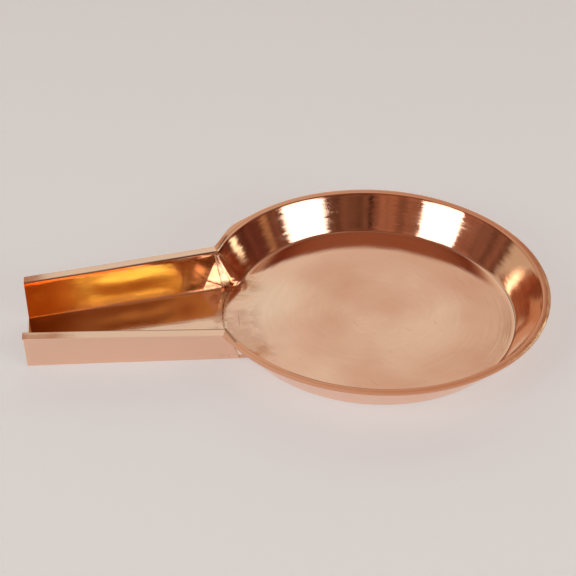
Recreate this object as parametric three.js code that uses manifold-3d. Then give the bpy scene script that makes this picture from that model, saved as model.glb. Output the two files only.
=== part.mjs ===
// Shallow copper pouring tray: a spun round dish with a flat turned-out rim, and a long open
// channel folded from sheet, let into one side of the dish as its spout and soldered there.
// Millimetres, +Z up. The origin is the centre of the dish's floor on its underside, and the
// spout runs along -X. All shapes are drawn about the spout's axis and moved to the origin last.
import * as THREE from "three";
import { mergeVertices } from "three/addons/utils/BufferGeometryUtils.js";
import Module from "manifold-3d";

const wasm = await Module();
wasm.setup();

// The sheet and the height that both parts share
const sheet = 0.9;
const height = 25.4;

// Dish
const floorRadius = 84.1; // inside, at the floor crease
const wallFlare = 13; // how far the wall leans out between the floor and the turn of the rim
const rimWidth = 4.4; // from the turn to the rim's outer edge
const floorBend = 2; // inside radius between floor and wall
const rimBend = 0.6; // radius under the turned rim
const floorLift = 2.7; // the floor's outer ring is this far above what the tray stands on
const bellyFlat = 14; // radius of the flat middle, which sags and rests there
const bellyEdge = 64; // radius at which the sagging middle meets the ring

// Spout: half widths are inside, in line with the floor crease and at the cut end
const spoutLength = 118.3; // from the floor crease to the cut end
const spoutShift = 5; // the spout's axis runs this far behind the dish's centre
const mouthFloorHalf = 33.9;
const mouthTopHalf = 38.4;
const endFloorHalf = 21.4;
const endTopHalf = 23.1;
const flangeWidth = 6.3;
const channelBend = 1; // inside radius between the channel's floor and walls
const webRadius = 3; // hollow corner where the two flanges meet

// Joint: the dish's cut wall is turned outward into a tab that laps the channel's wall inside
const cornerFoot = 11; // radius at the back of the turn from wall to tab, at the floor
const cornerHead = 1.6; // the same below the rim, where the turn is sharp
const tabFoot = 10; // reach of turn and tab past the wall's own circle, at the floor
const tabHead = 3; // the same below the rim
const seamGap = 0.3; // clearance between lapped or butted sheets
const trimGap = 0.25; // clearance of a trimmed edge, under seamGap so that no face is skimmed
const lipInset = 2.1; // from the floor crease in to the lip, where the dish's floor turns down
const lipRun = 4.5; // how far the lip slopes out on its way down to the channel's floor
const lipLap = 1.6; // how far the channel's floor runs in under the dish's floor, past the lip

// Solder
const seamWidth = 2.2; // thin fillet at the foot of the lip
const seamHeight = 0.8;
const seamTop = 0.5; // width of the fillet's upper edge
const beadWidth = 1.5;
const beadDepth = 0.9;
const blobHeight = 3.2; // the bead thickens to a blob below this height
const blobShare = 1.9; // width and depth of the blob as a share of the bead's

// Fineness of the curves, and how far a cutter runs past what it cuts
const circleSteps = 96;
const cornerSteps = 4;
const bendSteps = 4;
const wallSteps = 3;
const channelSteps = 12;
const bellySteps = 16;
const overrun = 5;

const rimTurnRadius = floorRadius + wallFlare;
const rimRadius = rimTurnRadius + rimWidth;
const lipRadius = floorRadius - lipInset;
const dishFloor = floorLift + sheet;
const dishY = -spoutShift;
const spoutReach = floorRadius + spoutLength;
const dishRise = height - dishFloor;
const channelRise = height - sheet;
const dishLean = Math.atan2(wallFlare, dishRise);
const dishWall = sheet / Math.cos(dishLean);
const channelLean = Math.atan2(mouthTopHalf - mouthFloorHalf, channelRise);
const channelWall = sheet / Math.cos(channelLean);
const tabTop = height - sheet - rimBend;
const farSide = spoutReach + rimRadius;

const rise = (z) => (z - sheet) / channelRise;
const dishRadius = (z) => floorRadius + (wallFlare * (z - dishFloor)) / dishRise;
const cornerBend = (z) => THREE.MathUtils.lerp(cornerFoot, cornerHead, rise(z));

// The channel's inner half width at height z, as a straight line over the distance from the origin
function channelLine(z, offset) {
  const atMouth = THREE.MathUtils.lerp(mouthFloorHalf, mouthTopHalf, rise(z));
  const atEnd = THREE.MathUtils.lerp(endFloorHalf, endTopHalf, rise(z));
  const slope = (atEnd - atMouth) / spoutLength;
  return { slope, start: atMouth - slope * floorRadius + offset };
}

const lineAt = (line, station) => line.start + line.slope * station;

// Distance along the spout at which a side line meets a circle about the dish's centre
function crossing(line, radius, side) {
  const rootTerm = side * line.start - dishY;
  const a = 1 + line.slope ** 2;
  const b = side * line.slope * rootTerm;
  const c = rootTerm ** 2 - radius ** 2;
  return (-b + Math.sqrt(b * b - a * c)) / a;
}

// Centre and touching points of an arc outside the circle and outside the side line
function cornerArc(line, radius, bend, side) {
  const stretch = Math.hypot(1, line.slope);
  const shifted = { slope: line.slope, start: line.start + bend * stretch };
  const station = crossing(shifted, radius + bend, side);
  const middle = new THREE.Vector2(-station, side * lineAt(shifted, station));
  const fromCircle = new THREE.Vector2(0, dishY).sub(middle).angle();
  const fromLine = new THREE.Vector2(-line.slope, -side).angle();
  return { middle, fromCircle, fromLine };
}

// Points of an arc from one angle to another, taking the shorter way round
function arcPoints(middle, radius, from, to, steps) {
  const turn = THREE.MathUtils.euclideanModulo(to - from + Math.PI, 2 * Math.PI) - Math.PI;
  return Array.from({ length: steps + 1 }, (_, i) => {
    const angle = from + (turn * i) / steps;
    return new THREE.Vector2(Math.cos(angle), Math.sin(angle)).multiplyScalar(radius).add(middle);
  });
}

// Outline of the dish with the start of the channel, anticlockwise from the channel's -Y end
function keyhole({ radius, line, bend, reach }) {
  const corner = (side) => cornerArc(line, radius, bend, side);
  const front = corner(-1);
  const rear = corner(1);
  const end = (side) => {
    const station = reach(side);
    return new THREE.Vector2(-station, side * lineAt(line, station));
  };
  const touch = (arc) => arc.middle.clone().sub(new THREE.Vector2(0, dishY)).angle();
  const first = touch(front);
  const sweep = THREE.MathUtils.euclideanModulo(touch(rear) - first, 2 * Math.PI);
  const round = Array.from({ length: circleSteps - 1 }, (_, i) => {
    const angle = first + (sweep * (i + 1)) / circleSteps;
    return new THREE.Vector2(radius * Math.cos(angle), dishY + radius * Math.sin(angle));
  });
  return [
    end(-1),
    ...arcPoints(front.middle, bend, front.fromLine, front.fromCircle, cornerSteps),
    ...round,
    ...arcPoints(rear.middle, bend, rear.fromCircle, rear.fromLine, cornerSteps),
    end(1),
  ];
}

// Outline of the bare channel between two distances from the origin
function trough(line, from, to) {
  const stations = Array.from({ length: channelSteps + 1 }, (_, i) => {
    return THREE.MathUtils.lerp(from, to, i / channelSteps);
  });
  const edge = (side) => stations.map((s) => new THREE.Vector2(-s, side * lineAt(line, s)));
  return [...edge(-1).reverse(), ...edge(1)];
}

const lastOf = (list) => list[list.length - 1];

// Heights of a sheet face from floor level to rim level, with how far its bends push it outward
function faceLevels(low, high, lean, lowBend, highBend) {
  const turn = Math.PI / 2 - lean;
  const slope = Math.tan(lean);
  const lowRun = lowBend * Math.tan(turn / 2);
  const highRun = highBend * Math.tan(turn / 2);
  const steps = Array.from({ length: bendSteps + 1 }, (_, i) => (turn * i) / bendSteps);
  const foot = steps.map((angle) => {
    const lift = lowBend * (1 - Math.cos(angle));
    return { z: low + lift, grow: lowBend * Math.sin(angle) - lowRun - lift * slope };
  });
  const head = steps.reverse().map((angle) => {
    const drop = highBend * (1 - Math.cos(angle));
    return { z: high - drop, grow: highRun - highBend * Math.sin(angle) + drop * slope };
  });
  const from = lastOf(foot).z;
  const wall = Array.from({ length: wallSteps - 1 }, (_, i) => {
    return { z: THREE.MathUtils.lerp(from, head[0].z, (i + 1) / wallSteps), grow: 0 };
  });
  return [...foot, ...wall, ...head];
}

// Closed solid through outlines at rising heights
function loft(rings) {
  const count = rings[0].points.length;
  const positions = rings.flatMap(({ z, points }) => points.flatMap((p) => [p.x, p.y, z]));
  const lid = THREE.ShapeUtils.triangulateShape(rings[0].points, []);
  const top = (rings.length - 1) * count;
  const index = lid.flatMap(([a, b, c]) => [a, c, b, top + a, top + b, top + c]);
  for (let ring = 0; ring < rings.length - 1; ring++) {
    for (let i = 0; i < count; i++) {
      const a = ring * count + i;
      const b = ring * count + ((i + 1) % count);
      index.push(a, b, b + count, a, b + count, a + count);
    }
  }
  const geometry = new THREE.BufferGeometry();
  geometry.setAttribute("position", new THREE.Float32BufferAttribute(positions, 3));
  geometry.setIndex(index);
  return solid(geometry);
}

function prism(points, low, high) {
  const geometry = new THREE.ExtrudeGeometry(new THREE.Shape(points), {
    depth: high - low,
    bevelEnabled: false,
  });
  return solid(geometry.translate(0, 0, low));
}

// Solid turned about the dish's axis from a rising run of [radius, z] points, closed by a flat top
function turned(run, top, topRadius = lastOf(run)[0]) {
  const profile = [...run, [topRadius, top], [0, top]];
  const points = profile.map(([radius, z]) => new THREE.Vector2(radius, z));
  const geometry = new THREE.LatheGeometry(points, circleSteps).rotateX(Math.PI / 2);
  return solid(geometry.translate(0, dishY, 0));
}

const disc = (radius, low, high) => turned([[0, low], [radius, low]], high);

// The sagging middle of the floor, from a face at this height on the axis up to a flat top
function belly(low, top) {
  const slope = Array.from({ length: bellySteps + 1 }, (_, i) => {
    const swing = (1 - Math.cos((Math.PI * i) / bellySteps)) / 2;
    return [THREE.MathUtils.lerp(bellyFlat, bellyEdge, i / bellySteps), low + floorLift * swing];
  });
  return turned([[0, low], ...slope], top);
}

function solid(geometry) {
  geometry.deleteAttribute("normal");
  geometry.deleteAttribute("uv");
  const merged = mergeVertices(geometry);
  return new wasm.Manifold(
    new wasm.Mesh({
      numProp: 3,
      vertProperties: merged.attributes.position.array,
      triVerts: new Uint32Array(merged.index.array),
    }),
  );
}

// Where a tab ends at height z
function tabEnd(z, side) {
  const line = channelLine(z, -seamGap - channelWall);
  const corner = crossing(line, dishRadius(z), side);
  return corner + THREE.MathUtils.lerp(tabFoot, tabHead, rise(z));
}

// The dish's space out to an offset from its inner face, with the tabs' space beside it
function dishSpace({ levels, offset, sideOffset, bendOffset, extra }) {
  return levels.map(({ z, grow, at = z }) => ({
    z: at,
    points: keyhole({
      radius: dishRadius(z) + offset + grow,
      line: channelLine(z, sideOffset + grow - seamGap - channelWall),
      bend: cornerBend(z) + bendOffset,
      reach: (side) => tabEnd(z, side) + extra,
    }),
  }));
}

function channelSpace(levels, offset, to) {
  return levels.map(({ z, grow }) => ({
    z,
    points: trough(channelLine(z, offset + grow), floorRadius / 2, to),
  }));
}

const insideLevels = faceLevels(dishFloor, height, dishLean, floorBend, rimBend + sheet);
const outsideLevels = faceLevels(floorLift, height - sheet, dishLean, floorBend + sheet, rimBend);
const raised = (levels, z) => [...levels, { z, grow: lastOf(levels).grow }];
const sunk = (levels, at) => [{ ...levels[0], at }, ...levels];

// Both flanges in one flat outline, with the hollow corners between them
function flangePlate() {
  const outline = keyhole({
    radius: rimRadius,
    line: channelLine(height, flangeWidth),
    bend: webRadius,
    reach: () => spoutReach,
  });
  return prism(outline, height - sheet, height);
}

// Everything on the spout's side of the two mitres, moved along the spout by a clearance
function spoutSide(low, clearance) {
  const inner = channelLine(height, -seamGap - channelWall);
  const outer = channelLine(height, flangeWidth);
  const mitre = (side) => {
    const innerStation = crossing(inner, rimTurnRadius, side);
    const outerStation = crossing(outer, rimRadius, side);
    const from = new THREE.Vector2(-innerStation, side * lineAt(inner, innerStation));
    const to = new THREE.Vector2(-outerStation, side * lineAt(outer, outerStation));
    const past = to.clone().sub(from).multiplyScalar(overrun / flangeWidth).add(to);
    return [past, from];
  };
  const far = (side) => new THREE.Vector2(-farSide, side * rimRadius);
  const outline = [far(-1), ...mitre(-1), ...mitre(1).reverse(), far(1)];
  const shift = new THREE.Vector2(-clearance, 0);
  return prism(outline.map((point) => point.clone().add(shift)), low, height + overrun);
}

// What is cut out of the dish's floor between the tabs, outside the lip
function mouthFloor() {
  const line = channelLine(dishFloor, -seamGap - channelWall);
  const outline = trough(line, floorRadius / 2, rimRadius + tabFoot);
  return prism(outline, 0, dishFloor + seamGap).subtract(disc(lipRadius, -overrun, height));
}

// The edge of the dish's floor, sloping down onto the channel's floor
function lip() {
  const outline = trough(channelLine(0, -seamGap), floorRadius / 2, rimRadius);
  const foot = sheet + seamGap;
  const cone = turned([[0, foot], [lipRadius + lipRun, foot]], dishFloor, lipRadius);
  return cone
    .subtract(cone.translate([0, 0, -sheet]))
    .subtract(disc(lipRadius - sheet, 0, height))
    .intersect(prism(outline, 0, height));
}

// The turned-down edge beside the mouth, from the channel's floor up into a tab's foot
function tabFootPiece(side) {
  const rings = [sheet + seamGap, dishFloor].map((z) => {
    const line = channelLine(z, -seamGap);
    const from = crossing(line, dishRadius(dishFloor), side);
    const point = (station, offset) => {
      return new THREE.Vector2(-station, side * (lineAt(line, station) - offset));
    };
    const to = tabEnd(z, side);
    const points = [point(from, channelWall), point(from, 0), point(to, 0), point(to, channelWall)];
    return { z, points: side > 0 ? points : points.reverse() };
  });
  return loft(rings);
}

function dish() {
  const outside = loft(
    dishSpace({
      levels: raised(outsideLevels, height - sheet / 2),
      offset: dishWall,
      sideOffset: channelWall,
      bendOffset: 0,
      extra: 0,
    }),
  );
  const inside = loft(
    dishSpace({
      levels: raised(insideLevels, height + overrun),
      offset: 0,
      sideOffset: 0,
      bendOffset: sheet,
      extra: overrun,
    }),
  );
  const rim = flangePlate().subtract(spoutSide(0, 0));
  return outside
    .subtract(spoutSide(tabTop, 0))
    .add(rim)
    .add(belly(0, floorLift + sheet / 2))
    .subtract(inside)
    .subtract(belly(sheet, height + overrun))
    .subtract(mouthFloor())
    .add(lip())
    .add(tabFootPiece(1))
    .add(tabFootPiece(-1));
}

function spoutChannel() {
  const insideFaces = faceLevels(sheet, height, channelLean, channelBend, rimBend + sheet);
  const outsideFaces = faceLevels(0, height - sheet, channelLean, channelBend + sheet, rimBend);
  const outerLevels = raised(outsideFaces, height - sheet / 2);
  const innerLevels = raised(insideFaces, height + overrun);
  const outside = loft(channelSpace(outerLevels, channelWall, spoutReach));
  const inside = loft(channelSpace(innerLevels, 0, spoutReach + overrun));
  const flanges = flangePlate().intersect(spoutSide(0, seamGap));
  const dishBody = loft(
    dishSpace({
      levels: raised(sunk(outsideLevels, 0), height + overrun),
      offset: dishWall + trimGap,
      sideOffset: channelWall + trimGap,
      bendOffset: -trimGap,
      extra: 0,
    }),
  ).trimByPlane([0, 0, 1], sheet + trimGap / 2);
  const underRim = disc(farSide, height - sheet - seamGap, height + overrun).subtract(
    spoutSide(0, seamGap),
  );
  return outside
    .add(flanges)
    .subtract(inside)
    .subtract(dishBody)
    .subtract(underRim)
    .subtract(disc(lipRadius - sheet - lipLap, -overrun, height));
}

// Fillet of solder on the channel's floor, along the foot of the lip
function floorSeam() {
  const reach = mouthFloorHalf - channelWall - channelBend - seamGap;
  const middle = new THREE.Vector2(0, dishY);
  const arc = (radius, first, last) => {
    const angle = (side) => Math.PI - Math.asin((side * reach - dishY) / radius);
    return arcPoints(middle, radius, angle(first), angle(last), circleSteps / 4);
  };
  const slope = lipRun / (dishFloor - sheet - seamGap);
  const rings = [seamWidth, seamTop].map((width, i) => {
    const inner = lipRadius + lipRun + seamGap - slope * (seamHeight * i - seamGap / 2);
    return {
      z: sheet + seamGap / 2 + seamHeight * i,
      points: [...arc(inner + width, 1, -1), ...arc(inner, -1, 1)],
    };
  });
  return loft(rings);
}

// Bead of solder up the end of one tab, on the channel's inner wall, with a blob at its foot
function tabSeam(side) {
  const foot = sheet + channelBend;
  const levels = [
    { z: foot, share: blobShare },
    { z: blobHeight, share: blobShare },
    { z: blobHeight + beadWidth, share: 1 },
    { z: tabTop, share: 1 },
  ];
  const rings = levels.map(({ z, share }) => {
    const line = channelLine(z, -seamGap);
    const start = tabEnd(z, side) + seamGap;
    const station = (along) => start + beadWidth * share * along;
    const point = (along, away) => {
      const y = lineAt(line, station(along)) - beadDepth * share * away;
      return new THREE.Vector2(-station(along), side * y);
    };
    const hollow = Array.from({ length: cornerSteps + 1 }, (_, i) => {
      const angle = (Math.PI / 2) * (i / cornerSteps);
      return point(1 - Math.sin(angle), 1 - Math.cos(angle));
    });
    const points = [point(0, 0), ...hollow];
    return { z, points: side > 0 ? points : points.reverse() };
  });
  return loft(rings);
}

// Polished copper and dull solder, one material for each piece
function piece(name, body, colour, roughness) {
  const { vertProperties, triVerts } = body.translate([0, spoutShift, 0]).getMesh();
  const geometry = new THREE.BufferGeometry();
  geometry.setAttribute("position", new THREE.BufferAttribute(vertProperties, 3));
  geometry.setIndex(new THREE.BufferAttribute(triVerts, 1));
  geometry.computeVertexNormals();
  const material = new THREE.MeshStandardMaterial({ color: colour, roughness, metalness: 1 });
  const mesh = new THREE.Mesh(geometry, material);
  mesh.name = name;
  return mesh;
}

const copper = 0xd9a07c;
const solder = 0xb79a86;

const group = new THREE.Group();
group.add(
  piece("dish", dish(), copper, 0.28),
  piece("spout_channel", spoutChannel(), copper, 0.2),
  piece("floor_seam_solder", floorSeam(), solder, 0.5),
  piece("rear_tab_solder", tabSeam(1), solder, 0.45),
  piece("front_tab_solder", tabSeam(-1), solder, 0.45),
);

export default group;
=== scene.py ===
import math

import bmesh
import bpy
from mathutils import Matrix, Vector, noise


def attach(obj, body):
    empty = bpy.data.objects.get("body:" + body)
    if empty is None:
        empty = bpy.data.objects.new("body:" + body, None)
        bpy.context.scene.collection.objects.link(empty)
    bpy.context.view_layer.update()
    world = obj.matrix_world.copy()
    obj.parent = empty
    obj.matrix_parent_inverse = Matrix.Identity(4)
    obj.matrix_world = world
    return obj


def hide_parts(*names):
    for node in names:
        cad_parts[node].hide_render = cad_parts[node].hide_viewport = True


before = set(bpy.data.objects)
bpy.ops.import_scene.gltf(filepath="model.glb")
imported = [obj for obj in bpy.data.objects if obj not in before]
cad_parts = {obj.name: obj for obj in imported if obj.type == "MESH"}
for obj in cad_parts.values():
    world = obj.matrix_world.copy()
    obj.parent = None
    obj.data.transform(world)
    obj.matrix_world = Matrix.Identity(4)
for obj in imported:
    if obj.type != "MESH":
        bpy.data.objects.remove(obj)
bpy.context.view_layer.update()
scene = bpy.context.scene
scene.view_settings.view_transform = "Standard"
print("frame loaded")


# helpers for node trees

def put(tree, kind, inputs=None, **settings):
    # one node, with its sockets filled by number or name from values or other sockets
    node = tree.nodes.new(kind)
    for key, value in settings.items():
        setattr(node, key, value)
    for key, value in (inputs or {}).items():
        socket = node.inputs[key]
        if isinstance(value, bpy.types.NodeSocket):
            tree.links.new(value, socket)
        else:
            socket.default_value = value
    return node


def treeOf(*values):
    # the tree that the first socket among the values belongs to
    return next(value.id_data for value in values if isinstance(value, bpy.types.NodeSocket))


def sums(operation, *values, clamp=False):
    node = put(treeOf(*values), "ShaderNodeMath", dict(enumerate(values)), operation=operation)
    node.use_clamp = clamp
    return node.outputs[0]


def product(first, *others):
    for other in others:
        first = sums("MULTIPLY", first, other)
    return first


def total(first, *others):
    for other in others:
        first = sums("ADD", first, other)
    return first


def smoothStep(value, low, high, start=0.0, end=1.0):
    node = put(value.id_data, "ShaderNodeMapRange", {0: value, 1: low, 2: high, 3: start, 4: end},
               interpolation_type="SMOOTHSTEP")
    return node.outputs[0]


def evenStep(value, low, high, start=0.0, end=1.0):
    tree = value.id_data
    return put(tree, "ShaderNodeMapRange", {0: value, 1: low, 2: high, 3: start, 4: end}).outputs[0]


def between(value, first, second, soft):
    return product(smoothStep(value, first - soft, first + soft),
                   smoothStep(value, second + soft, second - soft))


def combine(x, y, z):
    return put(treeOf(x, y, z), "ShaderNodeCombineXYZ", {0: x, 1: y, 2: z}).outputs[0]


def scaled(vector, factor):
    tree = treeOf(vector, factor)
    return put(tree, "ShaderNodeVectorMath", {0: vector, 3: factor}, operation="SCALE").outputs[0]


def newTree(name, inputs):
    # a geometry tree with one geometry in and out, and named inputs
    tree = bpy.data.node_groups.new(name, "GeometryNodeTree")
    tree.is_modifier = True
    tree.interface.new_socket("Geometry", in_out="INPUT", socket_type="NodeSocketGeometry")
    tree.interface.new_socket("Geometry", in_out="OUTPUT", socket_type="NodeSocketGeometry")
    for label, value in inputs.items():
        kind = {int: "NodeSocketInt", float: "NodeSocketFloat"}.get(type(value), "NodeSocketMaterial")
        socket = tree.interface.new_socket(label, in_out="INPUT", socket_type=kind)
        if kind != "NodeSocketMaterial":
            socket.default_value = value
    return tree, put(tree, "NodeGroupInput"), put(tree, "NodeGroupOutput")


def finishTree(tree, source, geometry, target):
    # every tree ends with its instances made real and its material set
    real = put(tree, "GeometryNodeRealizeInstances", {0: geometry})
    painted = put(tree, "GeometryNodeSetMaterial", {0: real.outputs[0]})
    tree.links.new(source.outputs["Material"], painted.inputs["Material"])
    tree.links.new(painted.outputs[0], target.inputs[0])


def bake(name, tree, values, mesh=None):
    # runs a tree once on a mesh and gives back the plain result
    holder = bpy.data.objects.new(name, mesh or bpy.data.meshes.new(name))
    scene.collection.objects.link(holder)
    modifier = holder.modifiers.new(tree.name, "NODES")
    modifier.node_group = tree
    for item in tree.interface.items_tree:
        if item.item_type == "SOCKET" and item.in_out == "INPUT" and item.name in values:
            modifier[item.identifier] = values[item.name]
    depsgraph = bpy.context.evaluated_depsgraph_get()
    result = bpy.data.meshes.new_from_object(holder.evaluated_get(depsgraph))
    result.name = name
    bpy.data.objects.remove(holder)
    return result


def filletedSection(tree, corners, radii, rowLength):
    # polyline through the corner points, its bends rounded, cut into short rows
    line = put(tree, "GeometryNodeMeshLine", {"Count": len(corners)})
    index = put(tree, "GeometryNodeInputIndex").outputs[0]

    def pick(kind, values):
        node = put(tree, "GeometryNodeIndexSwitch", data_type=kind)
        while len(node.index_switch_items) < len(values):
            node.index_switch_items.new()
        tree.links.new(index, node.inputs[0])
        for number, value in enumerate(values):
            if isinstance(value, bpy.types.NodeSocket):
                tree.links.new(value, node.inputs[number + 1])
            else:
                node.inputs[number + 1].default_value = value
        return node.outputs[0]

    placed = put(tree, "GeometryNodeSetPosition",
                 {"Geometry": line.outputs[0], "Position": pick("VECTOR", corners)})
    curve = put(tree, "GeometryNodeMeshToCurve", {0: placed.outputs[0]})
    bent = put(tree, "GeometryNodeFilletCurve",
               {"Curve": curve.outputs[0], "Count": 6, "Radius": pick("FLOAT", radii)},
               mode="POLY")
    here = put(tree, "GeometryNodeInputPosition").outputs[0]
    after = total(index, 1.0)
    there = put(tree, "GeometryNodeFieldAtIndex", {"Index": after, "Value": here}, data_type="FLOAT_VECTOR")
    gap = put(tree, "ShaderNodeVectorMath", {0: here, 1: there.outputs[0]}, operation="DISTANCE")
    cuts = sums("FLOOR", sums("DIVIDE", gap.outputs["Value"], rowLength))
    return put(tree, "GeometryNodeSubdivideCurve", {"Curve": bent.outputs[0], "Cuts": cuts}).outputs[0]


def gridOver(tree, section, columns):
    # grid with one row for each point of the section, and the row and column of each vertex
    size = put(tree, "GeometryNodeAttributeDomainSize", {0: section}, component="CURVE")
    grid = put(tree, "GeometryNodeMeshGrid",
               {"Vertices X": size.outputs["Point Count"], "Vertices Y": columns})
    index = put(tree, "GeometryNodeInputIndex").outputs[0]
    row = sums("FLOOR", sums("DIVIDE", total(index, 0.5), columns))
    column = sums("SUBTRACT", index, product(row, columns))
    return grid.outputs[0], row, column


def sampleRow(tree, section, row):
    here = put(tree, "GeometryNodeInputPosition").outputs[0]
    sample = put(tree, "GeometryNodeSampleIndex",
                 {"Geometry": section, "Value": here, "Index": row},
                 data_type="FLOAT_VECTOR", domain="POINT")
    return put(tree, "ShaderNodeSeparateXYZ", {0: sample.outputs[0]}).outputs


# sizes that all pieces share

tray = {
    "sheet": 0.0009,
    "height": 0.0254,
    "spoutAxis": 0.005,       # the spout's axis stands this far behind the dish's centre
    "floorRadius": 0.0841,
    "wallFlare": 0.0130,
    "rimWidth": 0.0044,
    "floorHeight": 0.0036,    # outer ring of the dish's floor
    "spoutEnd": 0.2024,
    "mouthFloorHalf": 0.0339,
    "mouthTopHalf": 0.0384,
    "endFloorHalf": 0.0214,
    "endTopHalf": 0.0231,
    "flangeWidth": 0.0063,
    "lap": 0.0003,            # the tabs stay this far inside the channel's walls
    "cornerTip": 0.055,       # the shading normals are tipped a little at the two corners of the mouth, as if the sheet were bent there
    # flux marks on the two mitres: start, end, half width and soft edge
    "fluxMarks": (((-0.0869, 0.0459), (-0.0796, 0.0603), 0.0006, 0.0004),
                  ((-0.0928, -0.0319), (-0.0878, -0.0451), 0.0006, 0.0004)),
}


# finishes

def newMaterial(name):
    material = bpy.data.materials.new(name)
    material.use_nodes = True
    tree = material.node_tree
    tree.nodes.clear()
    shader = put(tree, "ShaderNodeBsdfPrincipled", {"Metallic": 1.0})
    output = put(tree, "ShaderNodeOutputMaterial")
    tree.links.new(shader.outputs[0], output.inputs[0])
    coords = put(tree, "ShaderNodeTexCoord").outputs["Object"]
    return material, tree, shader.inputs, coords


def separate(vector):
    return put(vector.id_data, "ShaderNodeSeparateXYZ", {0: vector}).outputs


def noiseAt(vector, scale, detail=2.0, roughness=0.5):
    return put(vector.id_data, "ShaderNodeTexNoise",
               {"Vector": vector, "Scale": scale, "Detail": detail, "Roughness": roughness}).outputs[0]


def mixColour(factor, first, second):
    tree = factor.id_data
    return put(tree, "ShaderNodeMix", {0: factor, 6: first, 7: second}, data_type="RGBA").outputs[2]


def rgba(colour):
    return (*colour, 1.0)


def paint(mask, strength, below, colour):
    return mixColour(product(mask, strength), below, rgba(colour))


def reliefNormal(lines, waves, look):
    # fine marks on a wavy sheet
    tree = lines.id_data
    fine = put(tree, "ShaderNodeBump",
               {"Height": lines, "Strength": look["lineDepth"], "Distance": look["lineRelief"]})
    wide = put(tree, "ShaderNodeBump", {"Height": waves, "Strength": look["waveDepth"],
                                        "Distance": look["waveRelief"], "Normal": fine.outputs[0]})
    return wide.outputs[0]


def tipNormal(normal, towards, amount):
    # tips the normal sideways along the sheet, so that edges of reflections move or turn ragged
    tree = normal.id_data
    turned = put(tree, "ShaderNodeVectorTransform", {0: scaled(towards, amount)},
                 vector_type="VECTOR", convert_from="OBJECT", convert_to="WORLD").outputs[0]
    both = put(tree, "ShaderNodeVectorMath", {0: normal, 1: turned}, operation="ADD").outputs[0]
    return put(tree, "ShaderNodeVectorMath", {0: both}, operation="NORMALIZE").outputs[0]


def turnedPlan(x, y, along):
    # plan place measured along a direction and beside it
    ahead = total(product(x, along[0]), product(y, along[1]))
    beside = sums("SUBTRACT", product(y, along[0]), product(x, along[1]))
    return ahead, beside


def strokeMask(x, y, start, end, width, soft, fade=0.0008):
    # mask of a straight stroke seen from above
    along = Vector(end) - Vector(start)
    ahead, beside = turnedPlan(sums("SUBTRACT", x, start[0]),
                               sums("SUBTRACT", y, start[1]), along.normalized())
    return product(between(ahead, 0.0, along.length, fade),
                   smoothStep(sums("ABSOLUTE", beside), width + soft, width - soft))


def beyondWall(x, y, z):
    # how far a point lies outside the line of the spout's walls
    away = sums("ABSOLUTE", sums("SUBTRACT", y, tray["spoutAxis"]))
    mouthHalf = evenStep(z, tray["sheet"], tray["height"], tray["mouthFloorHalf"], tray["mouthTopHalf"])
    endHalf = evenStep(z, tray["sheet"], tray["height"], tray["endFloorHalf"], tray["endTopHalf"])
    along = sums("DIVIDE", total(x, tray["floorRadius"]), tray["floorRadius"] - tray["spoutEnd"])
    half = total(mouthHalf, product(along, sums("SUBTRACT", endHalf, mouthHalf)))
    return sums("SUBTRACT", away, half)


def fluxMask(coords, x, y):
    # grey flux lies along both mitres of the rim
    marks = [strokeMask(x, y, *mark) for mark in tray["fluxMarks"]]
    blotches = noiseAt(coords, 240.0, 2.0)
    return product(sums("MAXIMUM", *marks), smoothStep(blotches, 0.25, 0.50, 0.5, 1.0))


copperLook = {
    "colour": (0.93, 0.615, 0.455),
    "warm": (0.90, 0.50, 0.30),
    "cream": (0.965, 0.68, 0.515),
    "pink": (0.875, 0.54, 0.40),
    "dull": (0.73, 0.44, 0.32),
    "rim": (0.70, 0.32, 0.19),
    "rimEdge": (0.78, 0.40, 0.255),
    # painted shade for the crease and for the bend under the rim
    "paintedCreaseShade": (0.13, 0.075, 0.05),
    "grey": (0.25, 0.165, 0.12),
    "tinned": (0.97, 0.90, 0.74),
    "streak": (0.80, 0.42, 0.22),
    "floorRoughness": 0.12,
    "edgeRoughness": 0.075,
    "wallRoughness": 0.075,
    "raggedness": 0.55,
    "lineDepth": 0.05,
    "lineRelief": 0.0004,
    "waveDepth": 0.10,
    "waveRelief": 0.0012,
    # turning marks: width, how much they change along their length, detail, roughness
    "lines": (0.00055, 0.35, 3.0, 0.6),
    "bands": (0.0060, 1.0, 2.0, 0.5),
    "arcs": (0.0016, 2.6, 3.0, 0.55),
    "ragged": (0.0013, 6.0, 2.0, 0.6),
    # patches: scale, detail, roughness
    "clouds": (17.0, 2.0, 0.5),
    "patches": (34.0, 3.0, 0.6),
    "specks": (420.0, 2.0, 0.6),
    "waves": (38.0, 1.0, 0.5),
    "grain": (650.0, 3.0, 0.6),
    "smudges": (75.0, 3.0, 0.6),
    "smudgeStretch": 0.7,
    "fanScales": (60.0, 26.0),
    "scuffScales": (95.0, 900.0),
    "scuffs": ((0.5, 3.1), (-0.9, 8.4), (1.9, 5.7)),     # direction in radians, and which scuffs are met
}
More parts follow.
